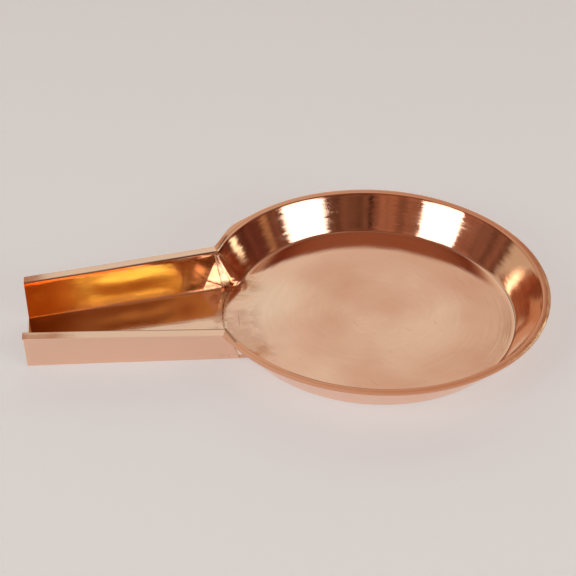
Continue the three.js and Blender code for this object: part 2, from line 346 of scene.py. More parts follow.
copperPlaces = {
    # from and to, in metres from the dish's axis or up from the table, some with a soft edge
    "floorTop": (0.0042, 0.0050),
    "wallFoot": (0.0040, 0.0060),
    "rimBottom": (0.0240, 0.0250),
    "creamEnd": (0.028, 0.050),
    "floorEdge": (0.050, 0.062),
    "lipStart": (0.064, 0.074),
    "lipTop": (0.0075, 0.0040),
    "lipRear": (0.020, 0.004),
    "mouthStart": (-0.058, -0.068),
    "mouthClear": (-0.068, -0.060),
    "cornersAside": (0.0210, 0.0400, 0.006),
    "cornersStart": (0.070, 0.080),
    "rimMiddle": (0.0984, 0.1003, 0.0005),
    "crease": (0.0837, 0.0841, 0.0002),
    "creaseFront": (0.020, -0.010),
    "rimBend": (0.0973, 0.0978, 0.0003),
    "rimBendLeft": (0.010, -0.040),
    "tabEdge": (-0.0795, -0.0802),
    "tabSlantShare": 0.30,
    "tabRaggedness": 0.002,
    "tabHeight": (0.0035, 0.0242, 0.0005),
    "tabInside": (0.0008, 0.0002),
    # strokes: start, end, half width and soft edge
    "cloud": ((-0.0780, 0.0149), (-0.0783, -0.0179), 0.0045, 0.0040),
    "crack": ((-0.0797, 0.0097), (-0.0803, 0.0), 0.0001, 0.0003),
}


def spunCopperMaterial(look, place):
    material, tree, sockets, coords = newMaterial("spun copper")
    x, y, z = separate(coords)
    flat = combine(x, y, 0.0)
    radius = put(tree, "ShaderNodeVectorMath", {0: flat}, operation="LENGTH").outputs["Value"]
    angle = sums("ARCTAN2", y, x)
    sine, cosine = sums("SINE", angle), sums("COSINE", angle)
    path = total(radius, z)     # the tool's path: distance from the axis along the sheet
    onFloor = smoothStep(z, *place["floorTop"], 1.0, 0.0)
    onRim = smoothStep(z, *place["rimBottom"])
    onLip = smoothStep(z, *place["lipTop"])
    byMouth = smoothStep(x, *place["mouthStart"])

    def turning(width, swing, detail, roughness):
        # noise that is drawn out along the tool's marks
        drawn = combine(sums("DIVIDE", path, width), product(sine, swing), product(cosine, swing))
        return noiseAt(drawn, 1.0, detail, roughness)

    lines, bands, arcs, ragged = [turning(*look[mark]) for mark in ("lines", "bands", "arcs", "ragged")]
    clouds, patches, specks, waves, grain = [noiseAt(coords, *look[mark]) for mark in
                                             ("clouds", "patches", "specks", "waves", "grain")]
    # polishing has left cream clouds and rings on a pinker floor
    cream = product(smoothStep(clouds, 0.38, 0.62), 0.80)
    cream = sums("ADD", cream, product(smoothStep(arcs, 0.50, 0.75), 0.26), clamp=True)
    cream = product(cream, smoothStep(y, *place["creamEnd"], 1.0, 0.35))
    floorTint = mixColour(cream, rgba(look["pink"]), rgba(look["cream"]))
    wallTint = paint(smoothStep(patches, 0.40, 0.70), 0.35, rgba(look["colour"]), look["warm"])
    tint = mixColour(onFloor, wallTint, floorTint)
    # heat from soldering has dulled the copper round the mouth
    nearLip = product(smoothStep(radius, *place["lipStart"]), onLip,
                      smoothStep(y, *place["lipRear"], 0.4, 1.0))
    smudges = noiseAt(combine(product(x, look["smudgeStretch"]), y, z), *look["smudges"])
    heat = product(nearLip, byMouth, smoothStep(smudges, 0.40, 0.56))
    cloud = product(strokeMask(x, y, *place["cloud"]), onLip, smoothStep(smudges, 0.30, 0.50))
    heat = sums("MAXIMUM", heat, cloud)
    tint = paint(heat, 0.85, tint, look["dull"])
    crack = product(strokeMask(x, y, *place["crack"]), onFloor)
    tint = paint(crack, 0.85, tint, look["grey"])
    # orange streaks of tarnish run in from the two corners of the mouth
    aside = sums("ABSOLUTE", sums("SUBTRACT", y, tray["spoutAxis"]))
    acrossFan, alongFan = look["fanScales"]
    fanned = combine(product(radius, acrossFan), product(angle, alongFan), 0.0)
    fan = noiseAt(fanned, 1.0)
    corner = product(between(aside, *place["cornersAside"]),
                     smoothStep(radius, *place["cornersStart"]), byMouth,
                     smoothStep(fan, 0.38, 0.58))
    tint = paint(corner, 0.75, tint, look["streak"])
    # handling has left a few short scuffs on the floor
    scuffs = 0.0
    alongScuff, acrossScuff = look["scuffScales"]
    for turn, seed in look["scuffs"]:
        ahead, beside = turnedPlan(x, y, (math.cos(turn), math.sin(turn)))
        drawn = combine(product(ahead, alongScuff), product(beside, acrossScuff), seed)
        scuffs = sums("MAXIMUM", scuffs, smoothStep(noiseAt(drawn, 1.0, 1.0), 0.72, 0.79))
    tint = paint(product(scuffs, onFloor), 0.4, tint, look["dull"])
    # the rim is browner than the polished inside
    browned = product(between(radius, *place["rimMiddle"]), smoothStep(bands, 0.30, 0.60, 0.55, 1.0))
    rimTint = mixColour(browned, rgba(look["rimEdge"]), rgba(look["rim"]))
    tint = mixColour(onRim, tint, rimTint)
    tint = paint(product(fluxMask(coords, x, y), onRim), 0.9, tint, look["grey"])
    # painted shade: a dark colour in the crease at the foot of the wall and in the bend under the rim,
    # where shade falls
    crease = product(between(radius, *place["crease"]), smoothStep(y, *place["creaseFront"]))
    bend = product(between(radius, *place["rimBend"]), onRim, smoothStep(x, *place["rimBendLeft"]))
    paintedCreaseShade = product(total(crease, bend), smoothStep(x, *place["mouthClear"]),
                   smoothStep(arcs, 0.35, 0.65, 0.35, 0.75))
    tint = mixColour(paintedCreaseShade, tint, rgba(look["paintedCreaseShade"]))
    # solder has whitened the two tabs
    frayed = product(sums("SUBTRACT", noiseAt(coords, 300.0), 0.5), place["tabRaggedness"])
    tabEdge = total(x, product(z, place["tabSlantShare"]), frayed)
    onTab = product(smoothStep(tabEdge, *place["tabEdge"]), between(z, *place["tabHeight"]),
                    smoothStep(beyondWall(x, y, z), *place["tabInside"]))
    tinned = paint(smoothStep(grain, 0.44, 0.66), 0.35, rgba(look["tinned"]), look["colour"])
    tint = mixColour(onTab, tint, tinned)
    tree.links.new(tint, sockets["Base Color"])
    floorRough = smoothStep(radius, *place["floorEdge"], look["floorRoughness"], look["edgeRoughness"])
    rough = put(tree, "ShaderNodeMix", {0: onFloor, 2: look["wallRoughness"], 3: floorRough}).outputs[0]
    rough = total(rough, smoothStep(bands, 0.30, 0.70, -0.020, 0.030),
                  product(smoothStep(specks, 0.55, 0.75), 0.05),
                  product(heat, 0.06), product(onTab, 0.10))
    tree.links.new(rough, sockets["Roughness"])
    around = combine(product(sine, -1.0), cosine, 0.0)
    swing = sums("SUBTRACT", ragged, 0.5)
    amount = product(swing, sums("ABSOLUTE", swing), look["raggedness"],
                     smoothStep(z, *place["wallFoot"], 0.35, 1.0))
    bent = tipNormal(reliefNormal(lines, waves, look), (1.0, 0.0, 0.0), product(onTab, tray["cornerTip"]))
    tree.links.new(tipNormal(bent, around, amount), sockets["Normal"])
    return material


channelLook = {
    "colour": (0.93, 0.615, 0.455),
    # painted reflection and painted shade of the inside walls: golden above, orange low down
    "paintedGoldSheen": (0.93, 0.61, 0.275),
    "warm": (0.90, 0.53, 0.20),
    "dull": (0.50, 0.24, 0.13),
    # painted shade towards the cut end, and on the rear wall by the mouth
    "paintedEndShade": (0.78, 0.41, 0.16),
    "paintedRearShade": (0.58, 0.22, 0.085),
    "paintedLowerShade": (0.81, 0.46, 0.20),
    # grey serves the flux and the painted shade along the flange's bend
    "grey": (0.25, 0.165, 0.12),
    "roughness": 0.055,
    "lineDepth": 0.05,
    "lineRelief": 0.0004,
    "waveDepth": 0.16,
    "waveRelief": 0.0012,
    "brushScales": (30.0, 1500.0, 1500.0),     # brush marks run along the spout
    "waveScales": (1.0, 1.0, 1.6),
    # patches: scale, detail, roughness
    "lines": (1.0, 3.0, 0.6),
    "waves": (42.0, 1.0, 0.5),
    "patches": (34.0, 3.0, 0.55),
    "specks": (500.0, 2.0, 0.6),
    "scorch": (120.0, 3.0, 0.5),
}
channelPlaces = {
    # from and to, in metres, some with a soft edge
    "inside": (0.0006, 0.0003),
    "flange": (0.0224, 0.0240),
    "floor": (0.0030, 0.0014),
    "mouthSlantShare": 0.458,          # the plain stretch at the mouth ends along a slanted line
    "mouthEnd": (-0.1010, -0.0990),
    "tipStart": (-0.0990, -0.0980),
    "tipFoot": (0.0014, 0.0020),
    "lowerShadeSpan": (0.0120, 0.0050),
    "wallTop": (0.0246, 0.0238),
    "flangeTop": (0.0236, 0.0246),
    "cutEnd": (-0.166, -0.193),
    "heatStart": (-0.104, -0.090),
    "heatTop": (0.006, 0.003),
    # where the rear wall is painted darker as painted shade
    "rearShadeAlong": (-0.1150, -0.1010, 0.0085),
    "rearShadeHeight": (0.0090, 0.0215, 0.0055),
    "rearSide": (tray["spoutAxis"], tray["spoutAxis"] + 0.002),
    # painted shade along the flange's bend
    "bendShade": (0.0001, 0.0011, 0.0003),
    "bendShadeFade": (-0.160, -0.105),
}


def foldedCopperMaterial(look, place):
    material, tree, sockets, coords = newMaterial("folded copper")
    x, y, z = separate(coords)
    brushed = put(tree, "ShaderNodeMapping", {"Vector": coords, "Scale": look["brushScales"]}).outputs[0]
    drawn = put(tree, "ShaderNodeMapping", {"Vector": coords, "Scale": look["waveScales"]}).outputs[0]
    lines, waves = noiseAt(brushed, *look["lines"]), noiseAt(drawn, *look["waves"])
    patches, specks, scorch = [noiseAt(coords, *look[mark]) for mark in ("patches", "specks", "scorch")]
    beyond = beyondWall(x, y, z)
    inside = smoothStep(beyond, *place["inside"])
    mouthLine = sums("SUBTRACT", x, product(z, place["mouthSlantShare"]))
    # painted reflection: the inside walls are painted golden so that mirrored light looks yellow, with warm
    # patches; painted shade makes them orange low down
    tint = paint(smoothStep(patches, 0.38, 0.68), 0.4, rgba(look["paintedGoldSheen"]), look["warm"])
    tint = paint(smoothStep(z, *place["lowerShadeSpan"]), 0.9, tint, look["paintedLowerShade"])
    # floor, flanges, outer faces and the last stretch by the dish keep the plain colour
    plain = sums("SUBTRACT", 1.0, inside)
    for value, limits in ((z, "flange"), (z, "floor"), (mouthLine, "mouthEnd")):
        plain = sums("MAXIMUM", plain, smoothStep(value, *place[limits]))
    tint = mixColour(plain, tint, rgba(look["colour"]))
    # heat from soldering has dulled the floor by the dish
    heat = product(smoothStep(x, *place["heatStart"]), smoothStep(z, *place["heatTop"]),
                   smoothStep(scorch, 0.40, 0.62))
    tint = paint(heat, 0.35, tint, look["dull"])
    # painted shade: the inside is painted browner towards the cut end, where less light is mirrored, and on
    # the rear wall by the mouth, where the mirrored yellow streak fades
    endShade = product(smoothStep(x, *place["cutEnd"]), smoothStep(z, *place["wallTop"]), inside)
    tint = mixColour(endShade, tint, rgba(look["paintedEndShade"]))
    paintedRearShade = product(between(x, *place["rearShadeAlong"]), between(z, *place["rearShadeHeight"]),
                    smoothStep(y, *place["rearSide"]), inside)
    tint = paint(paintedRearShade, 0.80, tint, look["paintedRearShade"])
    # painted shade: the flanges are painted grey along their bend, where shade falls; grey flux lies at the
    # mitres
    bendShade = product(between(beyond, *place["bendShade"]), smoothStep(x, *place["bendShadeFade"], 0.3, 0.9))
    marks = sums("MAXIMUM", product(fluxMask(coords, x, y), 0.9), bendShade)
    tint = mixColour(product(marks, smoothStep(z, *place["flangeTop"])), tint, rgba(look["grey"]))
    tree.links.new(tint, sockets["Base Color"])
    rough = total(smoothStep(patches, 0.35, 0.7, look["roughness"], look["roughness"] + 0.035),
                  product(smoothStep(specks, 0.55, 0.75), 0.05), product(heat, 0.15))
    tree.links.new(rough, sockets["Roughness"])
    tipped = product(smoothStep(mouthLine, *place["tipStart"]), inside, tray["cornerTip"],
                     smoothStep(z, *place["tipFoot"]))
    normal = tipNormal(reliefNormal(lines, waves, look), (1.0, 0.0, 0.0), tipped)
    tree.links.new(normal, sockets["Normal"])
    return material


solderLook = {
    "bright": (0.92, 0.78, 0.62),
    "dark": (0.50, 0.31, 0.22),
    "filed": (0.965, 0.68, 0.515),
    "stain": (0.84, 0.54, 0.39),
    "roughness": 0.26,
    "patches": (420.0, 4.0, 0.6),
    "grains": (2200.0, 3.0, 0.6),
    "filedTop": (0.0026, 0.0018),      # the seam on the floor lies below this height and is filed
    "stainStart": (0.014, 0.026),
    "lumpDepths": (0.5, 0.12),         # of the beads and of the filed seam
    "lumpRelief": 0.0006,
    "grainDepth": 0.25,
    "grainRelief": 0.0002,
}


def solderMaterial(look):
    material, tree, sockets, coords = newMaterial("cleaned solder")
    y, z = separate(coords)[1:]
    patches, grains = [noiseAt(coords, *look[mark]) for mark in ("patches", "grains")]
    low = smoothStep(z, *look["filedTop"])
    tint = mixColour(smoothStep(patches, 0.38, 0.66), rgba(look["bright"]), rgba(look["dark"]))
    filed = mixColour(smoothStep(patches, 0.46, 0.72), rgba(look["filed"]), rgba(look["stain"]))
    filed = mixColour(smoothStep(y, *look["stainStart"]), filed, rgba(look["stain"]))
    tree.links.new(mixColour(low, tint, filed), sockets["Base Color"])
    rough = smoothStep(patches, 0.3, 0.7, look["roughness"] - 0.08, look["roughness"] + 0.18)
    rough = total(rough, product(grains, 0.08))
    rough = sums("SUBTRACT", rough, product(low, 0.12), clamp=True)
    tree.links.new(rough, sockets["Roughness"])
    depth = smoothStep(low, 0.0, 1.0, *look["lumpDepths"])
    lumps = put(tree, "ShaderNodeBump",
                {"Height": patches, "Strength": depth, "Distance": look["lumpRelief"]})
    grain = put(tree, "ShaderNodeBump", {"Height": grains, "Strength": look["grainDepth"],
                                         "Distance": look["grainRelief"], "Normal": lumps.outputs[0]})
    tree.links.new(grain.outputs[0], sockets["Normal"])
    return material


spunCopper = spunCopperMaterial(copperLook, copperPlaces)
foldedCopper = foldedCopperMaterial(channelLook, channelPlaces)
cleanedSolder = solderMaterial(solderLook)
print("finishes made")


# outlines that dish and spout share

def blend(first, second, share):
    return first + (second - first) * share


def stairs(value, low, high):
    share = min(max((value - low) / (high - low), 0.0), 1.0)
    return share * share * (3 - 2 * share)


def ripple(x, y, z):
    return noise.noise(Vector((x, y, z)))


def hump(point, height, middle, reach):
    # smooth hill about a point
    distance = math.hypot((point[0] - middle[0]) / reach[0], (point[1] - middle[1]) / reach[1])
    return height * (0.5 + 0.5 * math.cos(math.pi * min(distance, 1.0)))


def riseAt(z):
    # share of the way from the channel's floor up to the rim
    return (z - tray["sheet"]) / (tray["height"] - tray["sheet"])


def wallRadius(z):
    # radius of the dish's wall at a height
    wallHeight = tray["height"] - tray["floorHeight"]
    return tray["floorRadius"] + tray["wallFlare"] * (z - tray["floorHeight"]) / wallHeight


def sideLine(z, offset=0.0):
    # half width of the channel as (slope, start) over the distance from the dish's axis
    mouth = blend(tray["mouthFloorHalf"], tray["mouthTopHalf"], riseAt(z))
    end = blend(tray["endFloorHalf"], tray["endTopHalf"], riseAt(z))
    slope = (end - mouth) / (tray["spoutEnd"] - tray["floorRadius"])
    return slope, mouth - slope * tray["floorRadius"] + offset


def tabLine(z):
    return sideLine(z, -tray["lap"] - tray["sheet"])


def flangeLine(share):
    # line along the flange, from its bend out to its edge
    inner, outer = tabLine(tray["height"]), sideLine(tray["height"], tray["flangeWidth"])
    return blend(inner[0], outer[0], share), blend(inner[1], outer[1], share)


def lineAt(line, station):
    return line[1] + line[0] * station


def linePoint(line, station, side):
    return Vector((-station, tray["spoutAxis"] + side * lineAt(line, station)))


def crossing(line, radius, side):
    # distance along the spout at which a side line meets a circle about the dish's axis
    start = side * line[1] + tray["spoutAxis"]
    a = 1 + line[0] ** 2
    b = side * line[0] * start
    c = start ** 2 - radius ** 2
    return (-b + math.sqrt(b * b - a * c)) / a


def cornerArc(line, radius, bend, side):
    # arc outside the circle and outside the side line: middle and the angles where it touches them
    shifted = (line[0], line[1] + bend * math.hypot(1, line[0]))
    station = crossing(shifted, radius + bend, side)
    middle = linePoint(shifted, station, side)
    return middle, math.atan2(-middle.y, -middle.x), math.atan2(-side, -line[0])


def arcPoint(middle, bend, first, last, share):
    turn = (last - first + math.pi) % (2 * math.pi) - math.pi
    angle = first + turn * share
    return middle + bend * Vector((math.cos(angle), math.sin(angle)))


def fillRows(bm, rows):
    # quads between neighbouring rows of vertices, where both have them
    for low, high in zip(rows, rows[1:]):
        for a, b, c, d in zip(low, low[1:], high[1:], high):
            if a and b and c and d and len({a, b, c, d}) == 4:
                bm.faces.new((a, b, c, d))


def finishSheet(name, bm, material, bevel):
    # open sheet to closed plate: thickness grows away from the face that is modelled
    bmesh.ops.remove_doubles(bm, verts=bm.verts, dist=2e-6)
    bmesh.ops.recalc_face_normals(bm, faces=bm.faces)
    bm.faces.ensure_lookup_table()
    flattest = max(bm.faces, key=lambda face: abs(face.normal.z) * face.calc_area())
    if flattest.normal.z < 0:
        bmesh.ops.reverse_faces(bm, faces=bm.faces)
    for face in bm.faces:
        face.smooth = True
    mesh = bpy.data.meshes.new(name)
    bm.to_mesh(mesh)
    bm.free()
    mesh.materials.append(material)
    piece = bpy.data.objects.new(name, mesh)
    scene.collection.objects.link(piece)
    plate = piece.modifiers.new("plate", "SOLIDIFY")
    plate.thickness = tray["sheet"]
    plate.offset = -1
    plate.use_even_offset = True
    plate.use_quality_normals = True
    soft = piece.modifiers.new("soft edges", "BEVEL")
    soft.width = bevel
    soft.segments = 2
    soft.limit_method = "ANGLE"
    soft.angle_limit = math.radians(50)
    soft.harden_normals = True
    return piece


# spun dish

dishShape = {
    "Floor Radius": tray["floorRadius"],
    "Wall Flare": tray["wallFlare"],
    "Rim Width": tray["rimWidth"],
    "Height": tray["height"],
    "Floor Height": tray["floorHeight"],
    "Floor Bend": 0.0020,
    "Rim Bend": 0.0009,
    "Belly Depth": 0.0027,
    "Belly Flat": 0.014,
    "Belly Edge": 0.064,
    "Row Length": 0.0022,
    "Start Angle": -2.77,
    "Sweep": 5.5,
    "Columns": 321,
}
dishJoint = {
    "tabFoot": 0.0125,
    "tabHead": 0.0015,
    "tabTop": 0.0239,
    "cornerFoot": 0.0120,     # the wall swings out to the channel in a wide turn at the floor
    "cornerHead": 0.0025,     # and in a sharp one below the rim
    "webRadius": 0.0030,
    "arcColumns": 6,
    "tabColumns": 6,
    "lastRowGap": 0.0015,     # from the last row of the floor to the foot of the wall
    "footBlend": 0.0022,      # beside the mouth this much of the wall follows the fall of the floor
    "lipStart": 0.0760,       # in the mouth the floor slopes down onto the channel's floor
    "lipEnd": 0.0876,
    "lipFoot": 0.0011,
    "lipRowGap": 0.001,
    "lipFade": 0.140,         # radians over which the slope sets in beside each corner
    "lipUnder": 0.0003,       # the slope runs this far under the tabs, after so many per radian
    "lipUnderRamp": 40,
    "troughStart": 0.022,     # the floor begins to fall this far from the middle
    "troughEnd": 0.080,
    "troughHalf": 0.016,      # half width at full depth, and where the trough has faded out
    "troughEdge": 0.043,
    "mouthColumns": 81,
    "mouthRows": 14,
    "bevel": 0.00016,
}
dishHand = {
    # height of the waves, and how closely they follow each other
    "rimWave": (0.00022, 14),
    "wallWave": (0.00010, 26, 30),
    "floorWave": (0.00008, 34),
    # height, middle and reach of a fuller rim and of a dip by the rear corner
    "cornerBulge": (0.0015, (-0.076, 0.068), (0.02, 0.02)),
    "cornerDip": (0.0009, (-0.082, 0.058), (0.016, 0.016)),
}


def spunDishTree():
    tree, source, target = newTree("spun dish", {**dishShape, "Material": spunCopper})
    get = source.outputs
    foot = get["Floor Radius"]
    turn = total(foot, get["Wall Flare"])
    edge = total(turn, get["Rim Width"])
    corners = [combine(0.0, 0.0, get["Floor Height"]), combine(foot, 0.0, get["Floor Height"]),
               combine(turn, 0.0, get["Height"]), combine(edge, 0.0, get["Height"])]
    radii = [0.0, get["Floor Bend"], get["Rim Bend"], 0.0]
    section = filletedSection(tree, corners, radii, get["Row Length"])
    grid, row, column = gridOver(tree, section, get["Columns"])
    radius, _, height = sampleRow(tree, section, row)
    lastColumn = sums("SUBTRACT", get["Columns"], 1.0)
    angle = sums("MULTIPLY_ADD", sums("DIVIDE", column, lastColumn), get["Sweep"], get["Start Angle"])
    sag = smoothStep(radius, get["Belly Flat"], get["Belly Edge"], get["Belly Depth"], 0.0)
    place = combine(product(radius, sums("COSINE", angle)),
                    product(radius, sums("SINE", angle)), sums("SUBTRACT", height, sag))
    turned = put(tree, "GeometryNodeSetPosition", {"Geometry": grid, "Position": place})
    finishTree(tree, source, turned.outputs[0], target)
    return tree


def dishProfile():
    # radius and height of each row of the spun grid
    mesh = bake("dish grid", spunDishTree(), {**dishShape, "Material": spunCopper})
    rows = [mesh.vertices[first].co.copy() for first in range(0, len(mesh.vertices), dishShape["Columns"])]
    bpy.data.meshes.remove(mesh)
    return [(math.hypot(point.x, point.y), point.z) for point in rows]


def cornerBend(z):
    return blend(dishJoint["cornerFoot"], dishJoint["cornerHead"], riseAt(z))


def webBend(share):
    return blend(dishJoint["cornerHead"], dishJoint["webRadius"], share)


def tabReach(z):
    return blend(dishJoint["tabFoot"], dishJoint["tabHead"], riseAt(z))


def dishRow(radius, z, flangeShare):
    # plan of one row above the floor: tab, corner, round, corner, tab
    onFlange = flangeShare > 0
    line = flangeLine(flangeShare) if onFlange else tabLine(z)
    bend = webBend(flangeShare) if onFlange else cornerBend(z)
    corners = {side: cornerArc(line, radius, bend, side) for side in (-1, 1)}
    first, last = [math.atan2(corners[side][0].y, corners[side][0].x) for side in (-1, 1)]
    sweep = (last - first) % (2 * math.pi)
    columns = dishShape["Columns"]
    angles = [first + sweep * i / (columns - 1) for i in range(columns)]
    arcs, tabs = dishJoint["arcColumns"], dishJoint["tabColumns"]

    def corner(side):
        middle, fromCircle, fromLine = corners[side]
        arc = [arcPoint(middle, bend, fromCircle, fromLine, (i + 1) / (2 * arcs)) for i in range(2 * arcs)]
        if onFlange:
            return arc[:arcs] + [None] * (arcs + tabs)
        start, end = -arc[-1].x, crossing(line, radius, side) + tabReach(z)
        return arc + [linePoint(line, blend(start, end, (i + 1) / tabs), side) for i in range(tabs)]

    circle = [Vector((radius * math.cos(a), radius * math.sin(a))) for a in angles]
    return corner(-1)[::-1] + circle + corner(1)


def shapedDish(x, y, z, radius):
    # hand work: an uneven rim, a slightly wavy wall and floor, and a fuller rim by the rear corner
    turnRadius = tray["floorRadius"] + tray["wallFlare"]
    share = stairs(z, tray["floorHeight"], tray["height"])
    outer = stairs(radius, turnRadius, turnRadius + tray["rimWidth"])
    rimWave, rimScale = dishHand["rimWave"]
    floorWave, floorScale = dishHand["floorWave"]
    wallWave, wallScale, wallRise = dishHand["wallWave"]
    lift = ripple(x * rimScale + 3, y * rimScale, 0.7) * rimWave * share
    lift += ripple(x * floorScale, y * floorScale, 5.1) * floorWave * (1 - share)
    lift -= outer * hump((x, y), *dishHand["cornerDip"])
    out = ripple(x * wallScale, y * wallScale, z * wallRise + 9) * wallWave * share
    out += outer * hump((x, y), *dishHand["cornerBulge"])
    length = max(math.hypot(x, y), 1e-6)
    return (x + x / length * out, y + y / length * out, z + lift)


def makeDish():
    profile = dishProfile()
    floorZ = tray["floorHeight"]
    turnRadius = tray["floorRadius"] + tray["wallFlare"]
    lean = math.atan2(tray["wallFlare"], tray["height"] - floorZ)
    halfTurn = math.tan((math.pi / 2 - lean) / 2)
    footRadius = tray["floorRadius"] - dishShape["Floor Bend"] * halfTurn
    rimRun = dishShape["Rim Bend"] * halfTurn * math.sin(lean)
    gap = dishJoint["lastRowGap"]
    floorRows = [(r, z) for r, z in profile if r < footRadius - 2 * gap] + [(footRadius - gap, floorZ)]
    upperRows = [(r, z) for r, z in profile if r > footRadius - 1e-5]
    columns = dishShape["Columns"]
    extra = 2 * dishJoint["arcColumns"] + dishJoint["tabColumns"]
    base = dishRow(footRadius, floorZ, 0.0)
    angles = [math.atan2(p.y, p.x) for p in base[extra:extra + columns]]
    rearEdge, frontEdge = angles[-1], angles[0] + 2 * math.pi
    bm = bmesh.new()

    def floorAt(x, y, level):
        # the floor falls gently towards the spout, and the rest of the way at the joint itself
        angle = math.atan2(y, x) % (2 * math.pi)
        joint = stairs(min(angle - rearEdge, frontEdge - angle), 0, dishJoint["lipFade"])
        joint *= stairs(math.hypot(x, y), dishJoint["lipStart"], dishJoint["lipEnd"])
        trough = stairs(-x, dishJoint["troughStart"], dishJoint["troughEnd"])
        trough *= 1 - stairs(abs(y - tray["spoutAxis"]), dishJoint["troughHalf"], dishJoint["troughEdge"])
        down = 1 - (1 - joint) * (1 - trough)
        return level - max(level - dishJoint["lipFoot"], 0) * down

    def floorVertex(r, angle, level):
        x, y = r * math.cos(angle), r * math.sin(angle)
        return bm.verts.new(shapedDish(x, y, floorAt(x, y, level), r))

    def footLimit(angle):
        # radius of the wall's foot beside the mouth, or of the slope's own foot between the tabs
        points = base[-extra:] if angle < math.pi else base[:extra][::-1]
        found = [(abs(math.atan2(p.y, p.x) % (2 * math.pi) - math.pi), p.length) for p in points]
        found.insert(0, (math.pi - rearEdge if angle < math.pi else frontEdge - math.pi, footRadius))
        here = abs(angle - math.pi)
        for (outer, first), (inner, second) in zip(found, found[1:]):
            if outer >= here >= inner:
                under = dishJoint["lipUnder"] * min((found[0][0] - here) * dishJoint["lipUnderRamp"], 1)
                return blend(second, first, (here - inner) / (outer - inner)) + under
        return dishJoint["lipEnd"]

    aside = [None] * extra
    rows = [aside + [floorVertex(r, angle, z) for angle in angles] + aside for r, z in floorRows]
    bendTop = floorZ + dishJoint["footBlend"]
    for r, z in upperRows:
        flangeShare = max((r - turnRadius + rimRun) / (tray["rimWidth"] + rimRun), 1e-4)
        plan = dishRow(r, z, 0.0 if z < dishJoint["tabTop"] else flangeShare)
        vertices = []
        for point in plan:
            height = z
            if point and z < bendTop:
                # beside the mouth the wall's foot follows the fall of the floor
                low = floorAt(point.x, point.y, floorZ)
                height = blend(low, bendTop, (z - floorZ) / (bendTop - floorZ))
            vertices.append(point and bm.verts.new(shapedDish(point.x, point.y, height, r)))
        rows.append(vertices)
    fillRows(bm, rows)

    # floor in the mouth, down to its foot on the channel's floor
    count, steps, start = dishJoint["mouthColumns"], dishJoint["mouthRows"], dishJoint["lipStart"]
    lipAngles = [blend(rearEdge, frontEdge, i / (count - 1)) for i in range(count)]
    lipRows = [[floorVertex(r, angle, z) for angle in lipAngles]
               for r, z in floorRows if r < start - dishJoint["lipRowGap"]]
    limits = [min(footLimit(angle), dishJoint["lipEnd"]) for angle in lipAngles]
    for number in range(steps + 1):
        lipRows.append([floorVertex(blend(start, limit, number / steps), angle, floorZ)
                        for angle, limit in zip(lipAngles, limits)])
    fillRows(bm, lipRows)
    return finishSheet("spunDish", bm, spunCopper, dishJoint["bevel"])


dish = makeDish()
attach(dish, "root")
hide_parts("dish")
print("dish made")


# folded channel

channelShape = {
    "Start": 0.070,
    "End": tray["spoutEnd"],
    "Mouth Floor Half": lineAt(sideLine(tray["sheet"]), 0.070),
    "Mouth Top Half": lineAt(sideLine(tray["height"]), 0.070),
    "End Floor Half": tray["endFloorHalf"],
    "End Top Half": tray["endTopHalf"],
    "Flange Width": tray["flangeWidth"],
    "Floor Height": tray["sheet"],
    "Height": tray["height"],
    "Foot Bend": 0.0010,
    "Rim Bend": 0.0009,
    "Axis": tray["spoutAxis"],
    "Row Length": 0.0020,
    "Columns": 91,
}
channelJoint = {
    "underTab": 0.0005,       # the walls start behind the tabs
    "floorStart": 0.0795,     # the floor starts under the dish's lip
    "arcColumns": 5,
    "wallTop": 0.0239,
    "bendRun": 0.0012,        # the turn below the flange starts this far inside its line
    "turnRun": 0.0008,        # and its corner this far inside the dish's rim
    "settle": 0.012,          # beyond the corner the flange is back on its line after this length
    "bevel": 0.00014,
}
channelHand = {
    # height of the waves, and how closely they follow each other
    "flangeWave": (0.00030, 30),
    "wallWave": (0.00012, 36, 60),
    "floorWave": (0.00012, 40),
    "bulge": (0.00036, (-0.140, 0.0150), (0.034, 0.0085)),     # height, middle and reach on the rear wall
    "flangeStart": 0.02,
    "wallFoot": (0.001, 0.005),
    "floorFade": 0.004,
}


def foldedChannelTree():
    tree, source, target = newTree("folded channel", {**channelShape, "Material": foldedCopper})
    get = source.outputs
    edge = total(get["Mouth Top Half"], get["Flange Width"])
    half = [(edge, get["Height"]), (get["Mouth Top Half"], get["Height"]),
            (get["Mouth Floor Half"], get["Floor Height"])]
    corners = [combine(0.0, y, z) for y, z in half]
    corners += [combine(0.0, product(y, -1.0), z) for y, z in reversed(half)]
    radii = [0.0, get["Rim Bend"], get["Foot Bend"], get["Foot Bend"], get["Rim Bend"], 0.0]
    mouth = filletedSection(tree, corners, radii, get["Row Length"])
    grid, row, column = gridOver(tree, mouth, get["Columns"])
    _, y, z = sampleRow(tree, mouth, row)
    share = sums("DIVIDE", column, sums("SUBTRACT", get["Columns"], 1.0))
    # half widths shrink evenly with the distance along the spout, at the height of the row
    heights = (get["Floor Height"], get["Height"])
    mouthHalf = evenStep(z, *heights, get["Mouth Floor Half"], get["Mouth Top Half"])
    endHalf = evenStep(z, *heights, get["End Floor Half"], get["End Top Half"])
    width = sums("ABSOLUTE", y)
    inside = sums("DIVIDE", sums("MINIMUM", width, mouthHalf), mouthHalf)
    beyond = sums("MAXIMUM", sums("SUBTRACT", width, mouthHalf), 0.0)
    endWidth = total(product(inside, endHalf), beyond)
    here = put(tree, "ShaderNodeMix", {0: share, 2: width, 3: endWidth}).outputs[0]
    there = total(product(here, sums("SIGN", y)), get["Axis"])
    length = sums("SUBTRACT", get["End"], get["Start"])
    station = sums("MULTIPLY_ADD", share, length, get["Start"])
    place = combine(product(station, -1.0), there, z)
    folded = put(tree, "GeometryNodeSetPosition", {"Geometry": grid, "Position": place})
    finishTree(tree, source, folded.outputs[0], target)
    return tree


